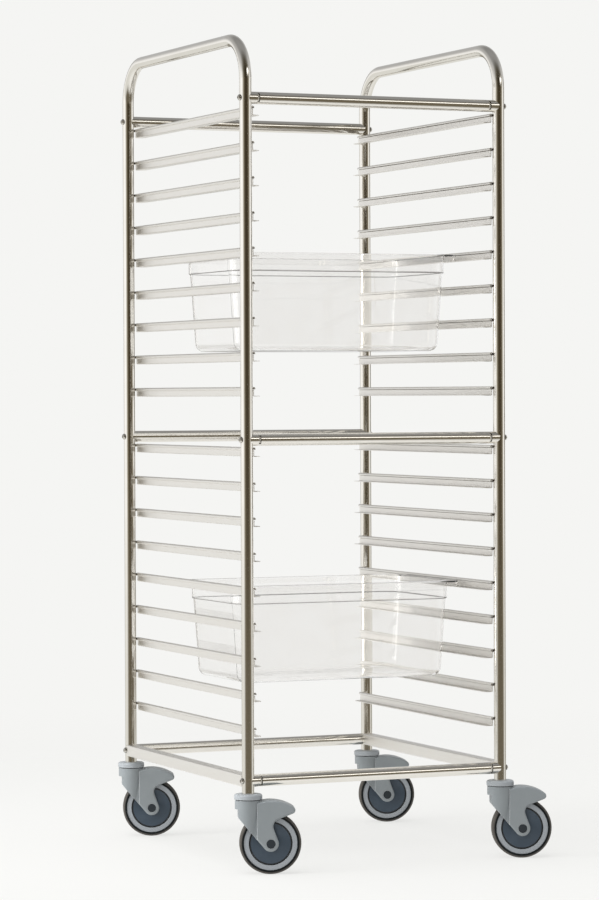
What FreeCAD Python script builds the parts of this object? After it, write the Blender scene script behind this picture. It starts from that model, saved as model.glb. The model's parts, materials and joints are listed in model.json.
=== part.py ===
import FreeCAD
import Part
import Sketcher
import math
import os
import re

# Gastronorm tray trolley: two bent-tube sides, six cross bars, rolled tray runners,
# four swivel castors and two clear containers. Millimetres, +X right, +Y to the back, +Z up,
# origin on the floor midway between the four legs.
DIMENSIONS = [
    ("frame_width", 580, "between the leg axes, left to right"),
    ("frame_depth", 672, "between the leg axes, front to back"),
    ("overall_height", 1728, "floor to the top of the handles"),
    ("tube_diameter", 25.4, "all frame tubes"),
    ("tube_wall", 1.5, "all frame tubes"),
    ("bend_radius", 85, "handle bend, on the tube axis"),
    ("bottom_bar_height", 191, "floor to the bottom bar axis"),
    ("handle_drop", 137, "top of the handles down to the top bar axis"),
    ("bar_point_trim", 4, "flat taken off the points of a coped bar end, from the leg axis"),
    ("slot_inset", 25, "nut plate slot, from the leg axis"),
    ("slot_width", 5, "nut plate slot along the bar"),
    ("slot_height", 17.5, "nut plate slot across the bar"),
    ("fit_gap", 0.1, "between pieces of the frame that are fitted together"),
    ("runner_levels", 9, "tray levels in one bay"),
    ("runner_drop", 34, "bar axis down to the first tray seat"),
    ("bay_gap", 90, "last tray seat down to the next bar axis"),
    ("runner_setback", 2, "runner end short of the leg axis"),
    ("runner_height", 19.5, "underside of the flange to the top of the bead"),
    ("runner_sheet", 1.2, "runner sheet thickness"),
    ("runner_bend", 1.2, "inside radius of the flange bend"),
    ("runner_flange", 19, "flange width, web included"),
    ("runner_corner", 14, "rounding of the flange at both ends"),
    ("bead_diameter", 7.5, "rolled bead along the top of a runner"),
    ("bead_curl", 200, "free edge of the bead, round from the tube side, degrees"),
    ("rail_size", 25, "square tube of the bottom rails"),
    ("rail_wall", 1.5, "square tube of the bottom rails"),
    ("rail_corner", 2.5, "outside radius of the square tube's edges"),
    ("rail_point_trim", 4.7, "flat taken off the points of a coped rail end, from the leg axis"),
    ("bolt_diameter", 8, "frame bolts"),
    ("bolt_hole_gap", 0.3, "bolt to its hole, each side"),
    ("bolt_head_diameter", 13, "domed head"),
    ("bolt_head_height", 4.5, "domed head"),
    ("bolt_head_rim", 1, "cylindrical edge of the domed head"),
    ("bolt_head_face", 7, "flat on top of the domed head"),
    ("bolt_socket_width", 5, "hexagon socket across flats"),
    ("bolt_socket_depth", 2.4, "hexagon socket"),
    ("bolt_tip", 2, "thread end past the nut plate"),
    ("nut_thickness", 3, "nut plate"),
    ("nut_gap", 0.2, "nut plate to the tube bore and slot"),
    ("thread_gap", 0.05, "bolt in the nut plate, each side"),
    ("wheel_diameter", 127, "over the tyre"),
    ("castor_offset", 45, "swivel axis to wheel axis"),
    ("castor_yaw", -19.5, "direction the castors trail, from +X"),
    ("fork_top", 152, "floor to the top of the swivel housing"),
    ("seam_gap", 2, "between swivel housing and fixed collar"),
    ("collar_diameter", 58, "fixed collar"),
    ("collar_height", 10.5, "fixed collar"),
    ("collar_shoulder", 4, "rounding of the collar's upper edge"),
    ("socket_depth", 7.5, "tube end down into the collar"),
    ("plug_clearance", 6, "stem plug, under the bottom bolt"),
    ("plug_chamfer", 2, "lead-in at the top of the plug"),
    ("kingpin_diameter", 12, "pin that the fork swivels on"),
    ("kingpin_head_diameter", 17, "retaining head under the housing"),
    ("kingpin_head_height", 3, "retaining head under the housing"),
    ("running_gap", 0.05, "turning fits, each side"),
    ("end_gap", 0.3, "end play between turning pieces"),
    ("washer_diameter", 40, "swivel thrust washer"),
    ("ring_diameter", 55, "upper ring of the swivel housing"),
    ("ring_height", 18, "upper ring of the swivel housing"),
    ("column_diameter", 42, "foot of the tapered swivel housing"),
    ("flank_width", 41, "over the flanks that join the housing to the cheeks"),
    ("shelf_height", 119, "floor to the shelf that the kingpin head holds"),
    ("fork_width", 48, "over the cheeks"),
    ("fork_inner_width", 37, "between the cheeks"),
    ("cheek_front", 17, "swivel axis to the near edge of the cheeks"),
    ("leg_slope", 50, "rear edge of the fork below level, degrees"),
    ("boss_radius", 16.5, "rounded end of the cheeks round the axle"),
    ("hook_lean", 20.4, "edge between boss and hook recess, from upright, degrees"),
    ("hook_rise", 26, "length of that edge"),
    ("hook_radius", 15.5, "hook recess under the hood"),
    ("hood_radius", 88.5, "mudguard hood about the axle"),
    ("hood_wall", 4.5, "mudguard hood roof and nose"),
    ("hood_fillet", 4, "rounding of the hood's edges"),
    ("nose_radius", 7.5, "front of the hood"),
    ("nose_angle", 57.8, "direction of the nose from the axle, degrees"),
    ("wheel_clearance", 3.5, "tyre to the fork"),
    ("notch_width", 6.5, "openings in the back of the housing"),
    ("notch_height", 14.5, "openings in the back of the housing"),
    ("notch_depth", 7, "openings in the back of the housing"),
    ("notch_inset", 7.3, "openings in the back of the housing, from its middle plane"),
    ("notch_bottom", 119, "floor to the bottom of those openings"),
    ("axle_diameter", 10, "wheel axle"),
    ("cap_diameter", 18.6, "axle cap"),
    ("cap_depth", 2, "axle cap let into the cheek"),
    ("cap_proud", 1, "axle cap standing out of the cheek"),
    ("bearing_diameter", 24, "wheel bearing"),
    ("bearing_width", 8, "wheel bearing"),
    ("hub_diameter", 32, "hub of the wheel rim"),
    ("web_thickness", 6, "web of the wheel rim"),
    ("rim_inner_diameter", 90, "inside of the visible rim ring"),
    ("rim_diameter", 110, "rim under the tyre"),
    ("rim_ring_width", 28, "visible rim ring"),
    ("disc_thickness", 2, "wheel centre disc"),
    ("disc_recess", 1, "disc below the face of the rim ring"),
    ("disc_gap", 0.2, "disc to hub"),
    ("disc_groove", 1.8, "open groove between disc and ring"),
    ("tyre_width", 30, "tyre"),
    ("tyre_shoulder", 6, "rounding of the tyre's edges"),
    ("container_inset", 25, "ends of the container's rim, from the leg axes"),
    ("container_width", 325, "rim, along the trolley's depth"),
    ("container_depth", 206, "top of the rim to the base"),
    ("container_wall", 3, "walls and base"),
    ("lip_height", 13, "turned-down edge of the rim"),
    ("lip_thickness", 3, "turned-down edge of the rim"),
    ("rim_plate", 3, "rim thickness"),
    ("rim_corner", 32, "corner radius of the rim"),
    ("band_inset", 14, "upper band of the container, from the ends of the rim"),
    ("band_side_inset", 13.5, "upper band of the container, from the sides of the rim"),
    ("band_corner", 45, "corner radius of the upper band"),
    ("band_depth", 39, "top of the rim to the stacking step"),
    ("band_step", 3, "stacking step, each side"),
    ("edge_round", 2, "rounding of the stacking step and of the rim's upper edge"),
    ("wall_taper", 12, "walls lean in from step to base, each side"),
    ("base_fillet", 18, "rounding between walls and base"),
    ("levels_over_container", 4, "tray levels above the container in each bay"),
    ("upper_forward", 37, "upper container, forward of the middle"),
    ("lower_forward", 48, "lower container, forward of the middle"),
    ("seat_gap", 0.2, "container rim to the runner"),
]

doc = FreeCAD.newDocument("gastronorm_tray_trolley")
sheet = doc.addObject("Spreadsheet::Sheet", "dims")
for row, (alias, value, note) in enumerate(DIMENSIONS, 1):
    sheet.set(f"A{row}", note)
    sheet.set(f"B{row}", str(value))
    sheet.setAlias(f"B{row}", alias)
doc.recompute()

ALIASES = {alias for alias, value, note in DIMENSIONS}
DERIVED = {
    "tube_radius": "(tube_diameter/2)",
    "bore_radius": "(tube_diameter/2 - tube_wall)",
    "handle_axis": "(overall_height - tube_diameter/2)",
    "collar_bottom": "(fork_top + seam_gap)",
    "collar_top": "(fork_top + seam_gap + collar_height)",
    "tube_end": "(fork_top + seam_gap + collar_height - socket_depth)",
    "bar_spacing": "((overall_height - handle_drop - bottom_bar_height)/2)",
    "middle_bar_height": "(bottom_bar_height + bar_spacing)",
    "top_bar_height": "(bottom_bar_height + 2*bar_spacing)",
    "runner_pitch": "((bar_spacing - runner_drop - bay_gap)/(runner_levels - 1))",
    "bolt_hole_radius": "(bolt_diameter/2 + bolt_hole_gap)",
    "plug_top": "(bottom_bar_height - bolt_diameter/2 - plug_clearance)",
    "axle_height": "(wheel_diameter/2)",
    "kingpin_hole": "(kingpin_diameter/2 + running_gap)",
    "container_length": "(frame_width - 2*container_inset)",
    "band_length": "(frame_width - 2*container_inset - 2*band_inset)",
    "band_width": "(container_width - 2*band_side_inset)",
    "band_bottom": "(lip_height - band_depth)",
    "container_base": "(lip_height - container_depth)",
}


def formula(text):
    """Expression text with every size name pointed at its cell in the sheet."""
    def cell(match):
        word = match.group()
        if word in DERIVED:
            return formula(DERIVED[word])
        return "dims." + word if word in ALIASES else word
    return re.sub(r"[a-z][a-z_]*[a-z]", cell, str(text))


def size(text):
    return float(sheet.evalExpression(formula(text)))


def bind(thing, prop, text):
    thing.setExpression(prop, formula(text))


def new_body(name):
    body = doc.addObject("PartDesign::Body", name)
    body.Label = name
    return body


def plane_of(body, role):
    return next(f for f in body.Origin.OriginFeatures if f.Role == role)


def new_sketch(body, name, role, offset=None):
    """Sketch on one of the body's own planes, lifted along its normal."""
    sketch = body.newObject("Sketcher::SketchObject", f"{body.Name}_{name}")
    sketch.AttachmentSupport = (plane_of(body, role), [""])
    sketch.MapMode = "FlatFace"
    if offset is not None:
        sketch.AttachmentOffset = FreeCAD.Placement(FreeCAD.Vector(0, 0, size(offset)), FreeCAD.Rotation())
        bind(sketch, "AttachmentOffset.Base.z", offset)
    return sketch


def hold(sketch, geometry, end, axis, text):
    """Dimension one coordinate of a point from the sketch's origin."""
    value = size(text)
    if abs(value) < 1e-9:
        line = -2 if axis == "X" else -1
        sketch.addConstraint(Sketcher.Constraint("PointOnObject", geometry, end, line))
        return
    index = sketch.addConstraint(Sketcher.Constraint("Distance" + axis, -1, 1, geometry, end, value))
    bind(sketch, f"Constraints[{index}]", text)


def heading(vector):
    return math.atan2(vector.y, vector.x)


def arc(centre, start, stop):
    circle = Part.Circle(centre, FreeCAD.Vector(0, 0, 1), (start - centre).Length)
    return Part.ArcOfCircle(circle, heading(start - centre), heading(stop - centre))


def draw(sketch, vertices, closed=True):
    """Lines and arcs through dimensioned vertices.

    A vertex (x, y) starts a line; a vertex (x, y, centre_x, centre_y, turn) starts an arc about
    that centre, anticlockwise for turn +1 and clockwise for turn -1.
    """
    points = [FreeCAD.Vector(size(v[0]), size(v[1]), 0) for v in vertices]
    count = len(vertices) if closed else len(vertices) - 1
    ends = []
    for i in range(count):
        start, stop = points[i], points[(i + 1) % len(points)]
        spec = vertices[i][2:]
        if not spec:
            edge = sketch.addGeometry(Part.LineSegment(start, stop), False)
            ends.append((edge, 1, 2))
            continue
        centre = FreeCAD.Vector(size(spec[0]), size(spec[1]), 0)
        if spec[2] > 0:
            edge = sketch.addGeometry(arc(centre, start, stop), False)
            ends.append((edge, 1, 2))
        else:
            edge = sketch.addGeometry(arc(centre, stop, start), False)
            ends.append((edge, 2, 1))
    for i in range(count if closed else count - 1):
        edge, following = ends[i], ends[(i + 1) % count]
        sketch.addConstraint(Sketcher.Constraint("Coincident", edge[0], edge[2], following[0], following[1]))
    for i, vertex in enumerate(vertices):
        edge, end = (ends[i][0], ends[i][1]) if i < count else (ends[-1][0], ends[-1][2])
        hold(sketch, edge, end, "X", vertex[0])
        hold(sketch, edge, end, "Y", vertex[1])
    for i in range(count):
        spec = vertices[i][2:]
        if spec:
            chord = points[(i + 1) % len(points)] - points[i]
            steeper = abs(chord.y) > abs(chord.x)
            hold(sketch, ends[i][0], 3, "X" if steeper else "Y", spec[0] if steeper else spec[1])


def add_circle(sketch, x, y, radius):
    centre = FreeCAD.Vector(size(x), size(y), 0)
    ring = sketch.addGeometry(Part.Circle(centre, FreeCAD.Vector(0, 0, 1), size(radius)), False)
    hold(sketch, ring, 3, "X", x)
    hold(sketch, ring, 3, "Y", y)
    index = sketch.addConstraint(Sketcher.Constraint("Radius", ring, size(radius)))
    bind(sketch, f"Constraints[{index}]", radius)


def rectangle(sketch, left, bottom, right, top):
    draw(sketch, [(left, bottom), (right, bottom), (right, top), (left, top)])


def rounded_rectangle(sketch, length, width, radius):
    """Rectangle about the origin with equal rounded corners."""
    far_x, far_y = f"({length})/2", f"({width})/2"
    near_x, near_y = f"({length})/2 - ({radius})", f"({width})/2 - ({radius})"
    draw(sketch, [
        (f"-({near_x})", f"-({far_y})"),
        (near_x, f"-({far_y})", near_x, f"-({near_y})", 1),
        (far_x, f"-({near_y})"),
        (far_x, near_y, near_x, near_y, 1),
        (near_x, far_y),
        (f"-({near_x})", far_y, f"-({near_x})", near_y, 1),
        (f"-({far_x})", near_y),
        (f"-({far_x})", f"-({near_y})", f"-({near_x})", f"-({near_y})", 1),
    ])


def extrude(body, kind, sketch, length, symmetric, turned_round, taper):
    feature = body.newObject(f"PartDesign::{kind}", f"{sketch.Name}_{kind.lower()}")
    feature.Profile = sketch
    feature.Length = size(length)
    bind(feature, "Length", length)
    feature.Midplane = symmetric
    feature.Reversed = turned_round
    if taper is not None:
        feature.TaperAngle = size(taper)
        bind(feature, "TaperAngle", taper)
    return feature


def pad(body, sketch, length, symmetric=False, downward=False, taper=None):
    feature = extrude(body, "Pad", sketch, length, symmetric, downward, taper)
    doc.recompute()
    return feature


def pocket(body, sketch, length, symmetric=False, along_normal=False, taper=None):
    """Cut against the sketch's normal, or along it, or evenly to both sides."""
    feature = extrude(body, "Pocket", sketch, length, symmetric, along_normal, taper)
    before = feature.BaseFeature.Shape.Volume
    doc.recompute()
    if not feature.Shape.Volume < before - 1e-3:
        raise RuntimeError(f"{feature.Name} removes nothing")
    return feature


def revolve(body, sketch, axis="V_Axis"):
    """Full turn about one of the sketch's own axes."""
    feature = body.newObject("PartDesign::Revolution", f"{sketch.Name}_turn")
    feature.Profile = sketch
    feature.ReferenceAxis = (sketch, [axis])
    feature.Angle = 360
    doc.recompute()
    return feature


def fillet(body, feature, radius, chosen):
    """Round the edges of a feature that the test picks out."""
    names = [f"Edge{i}" for i, edge in enumerate(feature.Shape.Edges, 1) if chosen(edge)]
    rounding = body.newObject("PartDesign::Fillet", f"{feature.Name}_fillet")
    rounding.Base = (feature, names)
    rounding.Radius = size(radius)
    bind(rounding, "Radius", radius)
    doc.recompute()
    return rounding


def level_edges(height, length=None, width=None):
    """Test for the edges that lie at one height, or those of them on one rectangle's outline."""
    level = size(height)

    def on_level(edge):
        return abs(edge.BoundBox.ZMin - level) < 1e-3 and abs(edge.BoundBox.ZMax - level) < 1e-3

    def on_outline(edge):
        reach_x, reach_y = size(length)/2, size(width)/2
        return all(abs(abs(v.X) - reach_x) < 1e-3 or abs(abs(v.Y) - reach_y) < 1e-3 for v in edge.Vertexes)

    return lambda edge: on_level(edge) and (length is None or on_outline(edge))


def place(thing, x, y, z, turn="0"):
    """Placement from sheet formulas: a position and a turn about +Z in degrees."""
    turning = FreeCAD.Rotation(FreeCAD.Vector(0, 0, 1), size(turn))
    thing.Placement = FreeCAD.Placement(FreeCAD.Vector(size(x), size(y), size(z)), turning)
    for axis, text in (("x", x), ("y", y), ("z", z)):
        if size(text) != 0:
            bind(thing, f"Placement.Base.{axis}", text)


def copies(name, master, spots):
    """One named node holding a placed copy of the master for every (x, y, z, turn)."""
    links = []
    for number, spot in enumerate(spots, 1):
        link = doc.addObject("App::Link", f"{name}_{number}")
        link.LinkedObject = master
        place(link, *spot)
        links.append(link)
    group = doc.addObject("Part::Compound", name)
    group.Label = name
    group.Links = links
    nodes.append(group)
    return group


nodes = []
SIDES = (("left", "-", "180"), ("right", "", "0"))
ENDS = (("front", "-", "0"), ("rear", "", "180"))
BARS = (("top", "top_bar_height"), ("middle", "middle_bar_height"), ("bottom", "bottom_bar_height"))


def side_tube(name, sign):
    """Upside-down U of round tube, drilled across both legs for the bar bolts."""
    body = new_body(name)
    path = new_sketch(body, "path", "YZ_Plane")
    near, far = "(frame_depth/2 - bend_radius)", "frame_depth/2"
    below = "(handle_axis - bend_radius)"
    draw(path, [
        (f"-{far}", "tube_end"),
        (f"-{far}", below, f"-{near}", below, -1),
        (f"-{near}", "handle_axis"),
        (near, "handle_axis", near, below, -1),
        (far, below),
        (far, "tube_end"),
    ], closed=False)
    section = new_sketch(body, "section", "XY_Plane", "tube_end")
    add_circle(section, "0", "-frame_depth/2", "tube_radius")
    add_circle(section, "0", "-frame_depth/2", "bore_radius")
    pipe = body.newObject("PartDesign::AdditivePipe", f"{name}_pipe")
    pipe.Profile = section
    pipe.Spine = (path, [f"Edge{i}" for i in range(1, 6)])
    doc.recompute()
    holes = new_sketch(body, "holes", "YZ_Plane")
    for end, y_sign, turn in ENDS:
        for level, height in BARS:
            add_circle(holes, f"{y_sign}frame_depth/2", height, "bolt_hole_radius")
    pocket(body, holes, "2*tube_diameter", symmetric=True)
    place(body, f"{sign}frame_width/2", "0", "0")
    nodes.append(body)


def cross_bar(name, y_sign, height, turn):
    """Round tube along X, coped round both legs and slotted outward for the nut plates."""
    body = new_body(name)
    section = new_sketch(body, "section", "YZ_Plane")
    add_circle(section, "0", "0", "tube_radius")
    add_circle(section, "0", "0", "bore_radius")
    pad(body, section, "frame_width - 2*bar_point_trim", symmetric=True)
    cope = new_sketch(body, "cope", "XY_Plane")
    slots = new_sketch(body, "slots", "XZ_Plane")
    for sign in ("-", ""):
        add_circle(cope, f"{sign}frame_width/2", "0", "tube_radius + fit_gap")
        middle = f"{sign}(frame_width/2 - slot_inset)"
        rectangle(slots, f"{middle} - slot_width/2", "-slot_height/2",
                  f"{middle} + slot_width/2", "slot_height/2")
    pocket(body, cope, "2*tube_diameter", symmetric=True)
    pocket(body, slots, "tube_diameter", along_normal=True)
    place(body, "0", f"{y_sign}frame_depth/2", height, turn)
    nodes.append(body)


def square(sketch, half, corner):
    """Square outline about the sketch's origin with rounded corners."""
    start = f"({half} - {corner})"
    draw(sketch, [
        (half, f"-{start}"),
        (half, start, start, start, 1),
        (start, half),
        (f"-{start}", half, f"-{start}", start, 1),
        (f"-{half}", start),
        (f"-{half}", f"-{start}", f"-{start}", f"-{start}", 1),
        (f"-{start}", f"-{half}"),
        (start, f"-{half}", start, f"-{start}", 1),
    ])


def bottom_rail(name, sign, turn):
    """Square tube along Y between the legs of one side, coped round the legs and the bottom bars."""
    body = new_body(name)
    section = new_sketch(body, "section", "XZ_Plane")
    square(section, "rail_size/2", "rail_corner")
    square(section, "(rail_size/2 - rail_wall)", "(rail_corner - rail_wall)")
    pad(body, section, "frame_depth - 2*rail_point_trim", symmetric=True)
    leg_cope = new_sketch(body, "leg_cope", "XY_Plane")
    bar_cope = new_sketch(body, "bar_cope", "YZ_Plane")
    for y_sign in ("-", ""):
        add_circle(leg_cope, "0", f"{y_sign}frame_depth/2", "tube_radius + fit_gap")
        add_circle(bar_cope, f"{y_sign}frame_depth/2", "0", "tube_radius + fit_gap")
    pocket(body, leg_cope, "2*rail_size", symmetric=True)
    pocket(body, bar_cope, "rail_size")
    place(body, f"{sign}frame_width/2", "0", "bottom_bar_height", turn)
    nodes.append(body)


RUNNER_AXIS = "(-tube_radius - fit_gap - bead_diameter/2)"
RUNNER_TIP = f"({RUNNER_AXIS} + runner_sheet/2 - runner_flange)"


def runner_profile(sketch):
    """Sheet section: bead rolled over toward the tube, upright web, level flange pointing inward."""
    centre_z = "(runner_height - runner_sheet - bead_diameter/2)"
    centre = (RUNNER_AXIS, centre_z)
    face, back = f"({RUNNER_AXIS} - runner_sheet/2)", f"({RUNNER_AXIS} + runner_sheet/2)"
    fold = f"{face} - runner_bend"
    outer, inner = "(bead_diameter/2)", "(bead_diameter/2 - runner_sheet)"

    def round_bead(radius):
        return f"{RUNNER_AXIS} + {radius}*cos(bead_curl)", f"{centre_z} + {radius}*sin(bead_curl)"

    def neck(radius):
        return f"{centre_z} - sqrt(pow({radius}; 2) - pow(runner_sheet/2; 2))"

    draw(sketch, [
        (RUNNER_TIP, "-runner_sheet"),
        (fold, "-runner_sheet", fold, "runner_bend", 1),
        (back, "runner_bend"),
        (back, neck(outer), *centre, 1),
        round_bead(outer),
        (*round_bead(inner), *centre, -1),
        (face, neck(inner)),
        (face, "runner_bend", fold, "runner_bend", -1),
        (fold, "0"),
        (RUNNER_TIP, "0"),
    ])


def runner_corners(sketch):
    """What is taken off the two inner corners of a runner's flange to round them."""
    past, end = f"{RUNNER_TIP} - 1", "(frame_depth/2 - runner_setback)"
    start, middle = f"({end} - runner_corner)", f"{RUNNER_TIP} + runner_corner"
    for sign, turn in (("", -1), ("-", 1)):
        draw(sketch, [
            (RUNNER_TIP, f"{sign}{start}", middle, f"{sign}{start}", turn),
            (middle, f"{sign}{end}"),
            (middle, f"{sign}({end} + 1)"),
            (past, f"{sign}({end} + 1)"),
            (past, f"{sign}{start}"),
        ])


def runner_bay(name, sign, bar_height, turn):
    """One bay of runners on one side, patterned down the legs."""
    body = new_body(name)
    body.AllowCompound = True
    section = new_sketch(body, "section", "XZ_Plane")
    runner_profile(section)
    first = pad(body, section, "frame_depth - 2*runner_setback", symmetric=True)
    corners = new_sketch(body, "corners", "XY_Plane")
    runner_corners(corners)
    rounding = pocket(body, corners, "2*runner_sheet")
    levels = body.newObject("PartDesign::LinearPattern", f"{name}_levels")
    levels.Originals = [first, rounding]
    levels.Direction = (section, ["V_Axis"])
    levels.Reversed = True
    bind(levels, "Occurrences", "runner_levels")
    bind(levels, "Length", "(runner_levels - 1)*runner_pitch")
    body.Tip = levels
    place(body, f"{sign}frame_width/2", "0", f"{bar_height} - runner_drop", turn)
    nodes.append(body)


def frame_bolt():
    """Domed socket screw pointing to -X, the seat of its head at the origin."""
    body = new_body("frame_bolt")
    section = new_sketch(body, "section", "XY_Plane")
    shank = "(tube_radius + slot_inset + nut_thickness/2 + bolt_tip)"
    head, face = "bolt_head_diameter/2", "bolt_head_face/2"
    rise = "(bolt_head_height - bolt_head_rim)"
    dome = (f"((pow(bolt_head_height; 2) + pow({face}; 2) - pow(bolt_head_rim; 2) - pow({head}; 2))"
            f"/(2*{rise}))")
    draw(section, [
        (f"-{shank}", "0"),
        ("bolt_head_height", "0"),
        ("bolt_head_height", face, dome, "0", 1),
        ("bolt_head_rim", head),
        ("0", head),
        ("0", "bolt_diameter/2"),
        (f"-{shank}", "bolt_diameter/2"),
    ])
    revolve(body, section, "H_Axis")
    socket = new_sketch(body, "socket", "YZ_Plane", "bolt_head_height")
    flat, point = "bolt_socket_width/2", "bolt_socket_width/sqrt(3)"
    draw(socket, [
        (flat, f"-{point}/2"),
        (flat, f"{point}/2"),
        ("0", point),
        (f"-{flat}", f"{point}/2"),
        (f"-{flat}", f"-{point}/2"),
        ("0", f"-{point}"),
    ])
    pocket(body, socket, "bolt_socket_depth")
    return body


def nut_plate():
    """Plate that slips into a bar's slot, rounded to the tube's bore and drilled for the bolt."""
    body = new_body("nut_plate")
    section = new_sketch(body, "section", "YZ_Plane")
    high = "(slot_height/2 - nut_gap)"
    wide = f"sqrt(pow(bore_radius - nut_gap; 2) - pow({high}; 2))"
    draw(section, [
        (f"-{wide}", f"-{high}"),
        (wide, f"-{high}", "0", "0", 1),
        (wide, high),
        (f"-{wide}", high, "0", "0", 1),
    ])
    add_circle(section, "0", "0", "bolt_diameter/2 + thread_gap")
    pad(body, section, "nut_thickness", symmetric=True)
    return body


def castor_stem():
    """Plug for the tube end with the kingpin and its retaining head below."""
    body = new_body("castor_stem")
    section = new_sketch(body, "section", "XZ_Plane")
    head_top = "(shelf_height - end_gap)"
    plug = "(bore_radius - fit_gap)"
    draw(section, [
        ("0", f"{head_top} - kingpin_head_height"),
        ("kingpin_head_diameter/2", f"{head_top} - kingpin_head_height"),
        ("kingpin_head_diameter/2", head_top),
        ("kingpin_diameter/2", head_top),
        ("kingpin_diameter/2", "tube_end"),
        (plug, "tube_end"),
        (plug, "plug_top - plug_chamfer"),
        (f"{plug} - plug_chamfer", "plug_top"),
        ("0", "plug_top"),
    ])
    revolve(body, section)
    return body


def castor_collar():
    """Fixed moulded collar with the socket for the tube end."""
    body = new_body("castor_collar")
    section = new_sketch(body, "section", "XZ_Plane")
    outer, socket = "collar_diameter/2", "(tube_radius + fit_gap)"
    draw(section, [
        ("kingpin_hole", "collar_bottom"),
        (outer, "collar_bottom"),
        (outer, "collar_top - collar_shoulder",
         f"{outer} - collar_shoulder", "collar_top - collar_shoulder", 1),
        (f"{outer} - collar_shoulder", "collar_top"),
        (socket, "collar_top"),
        (socket, "tube_end"),
        ("kingpin_hole", "tube_end"),
    ])
    revolve(body, section)
    return body


def swivel_washer():
    """Thrust washer in the seam between collar and fork."""
    body = new_body("swivel_washer")
    section = new_sketch(body, "section", "XY_Plane", "fork_top + end_gap")
    add_circle(section, "0", "0", "washer_diameter/2")
    add_circle(section, "0", "0", "kingpin_hole")
    pad(body, section, "seam_gap - end_gap")
    return body


def cheek_outline(sketch):
    """Side view of the hood and cheeks: boss, hook recess, nose and hood joined by tangents."""
    axle = FreeCAD.Vector(size("castor_offset"), size("axle_height"), 0)
    boss, hook, nose, hood = (size(r) for r in ("boss_radius", "hook_radius", "nose_radius", "hood_radius"))
    front = size("cheek_front")

    def polar(length, degrees):
        angle = math.radians(degrees)
        return FreeCAD.Vector(length*math.cos(angle), length*math.sin(angle), 0)

    slope, lean = size("leg_slope"), size("hook_lean")
    boss_low = axle + polar(boss, 270 - slope)
    boss_side = axle + polar(boss, lean)
    hook_centre = axle + polar(boss + hook, lean) + polar(size("hook_rise"), lean + 90)
    hook_low = hook_centre - polar(hook, lean)
    nose_centre = axle + polar(hood - nose, size("nose_angle"))
    reach = nose_centre - hook_centre
    brow = math.degrees(heading(reach) - math.asin((hook + nose)/reach.Length))
    hook_high = hook_centre + polar(hook, brow + 90)
    nose_low = nose_centre - polar(nose, brow + 90)
    nose_high = axle + polar(hood, size("nose_angle"))
    hood_end = FreeCAD.Vector(front, axle.y + math.sqrt(hood**2 - (front - axle.x)**2), 0)
    leg_top = FreeCAD.Vector(front, boss_low.y + (boss_low.x - front)*math.tan(math.radians(slope)), 0)
    for edge in (
        Part.LineSegment(leg_top, boss_low),
        arc(axle, boss_low, boss_side),
        Part.LineSegment(boss_side, hook_low),
        arc(hook_centre, hook_high, hook_low),
        Part.LineSegment(hook_high, nose_low),
        arc(nose_centre, nose_low, nose_high),
        arc(axle, nose_high, hood_end),
        Part.LineSegment(hood_end, leg_top),
    ):
        sketch.addGeometry(edge, False)
    for first, first_end, second, second_end in (
        (0, 2, 1, 1), (1, 2, 2, 1), (2, 2, 3, 2), (3, 1, 4, 1), (4, 2, 5, 1), (5, 2, 6, 1),
    ):
        sketch.addConstraint(Sketcher.Constraint("Tangent", first, first_end, second, second_end))
    sketch.addConstraint(Sketcher.Constraint("Coincident", 6, 2, 7, 1))
    sketch.addConstraint(Sketcher.Constraint("Coincident", 7, 2, 0, 1))
    sketch.addConstraint(Sketcher.Constraint("Coincident", 6, 3, 1, 3))
    sketch.addConstraint(Sketcher.Constraint("Vertical", 7))
    hold(sketch, 1, 3, "X", "castor_offset")
    hold(sketch, 1, 3, "Y", "axle_height")
    hold(sketch, 7, 1, "X", "cheek_front")
    hold(sketch, 3, 3, "X",
         "castor_offset + (boss_radius + hook_radius)*cos(hook_lean) - hook_rise*sin(hook_lean)")
    hold(sketch, 0, 2, "X", "castor_offset - boss_radius*sin(leg_slope)")
    hold(sketch, 1, 2, "X", "castor_offset + boss_radius*cos(hook_lean)")
    hold(sketch, 5, 2, "X", "castor_offset + hood_radius*cos(nose_angle)")
    for edge, radius in ((1, "boss_radius"), (3, "hook_radius"), (5, "nose_radius"), (6, "hood_radius")):
        index = sketch.addConstraint(Sketcher.Constraint("Radius", edge, size(radius)))
        bind(sketch, f"Constraints[{index}]", radius)


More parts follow.
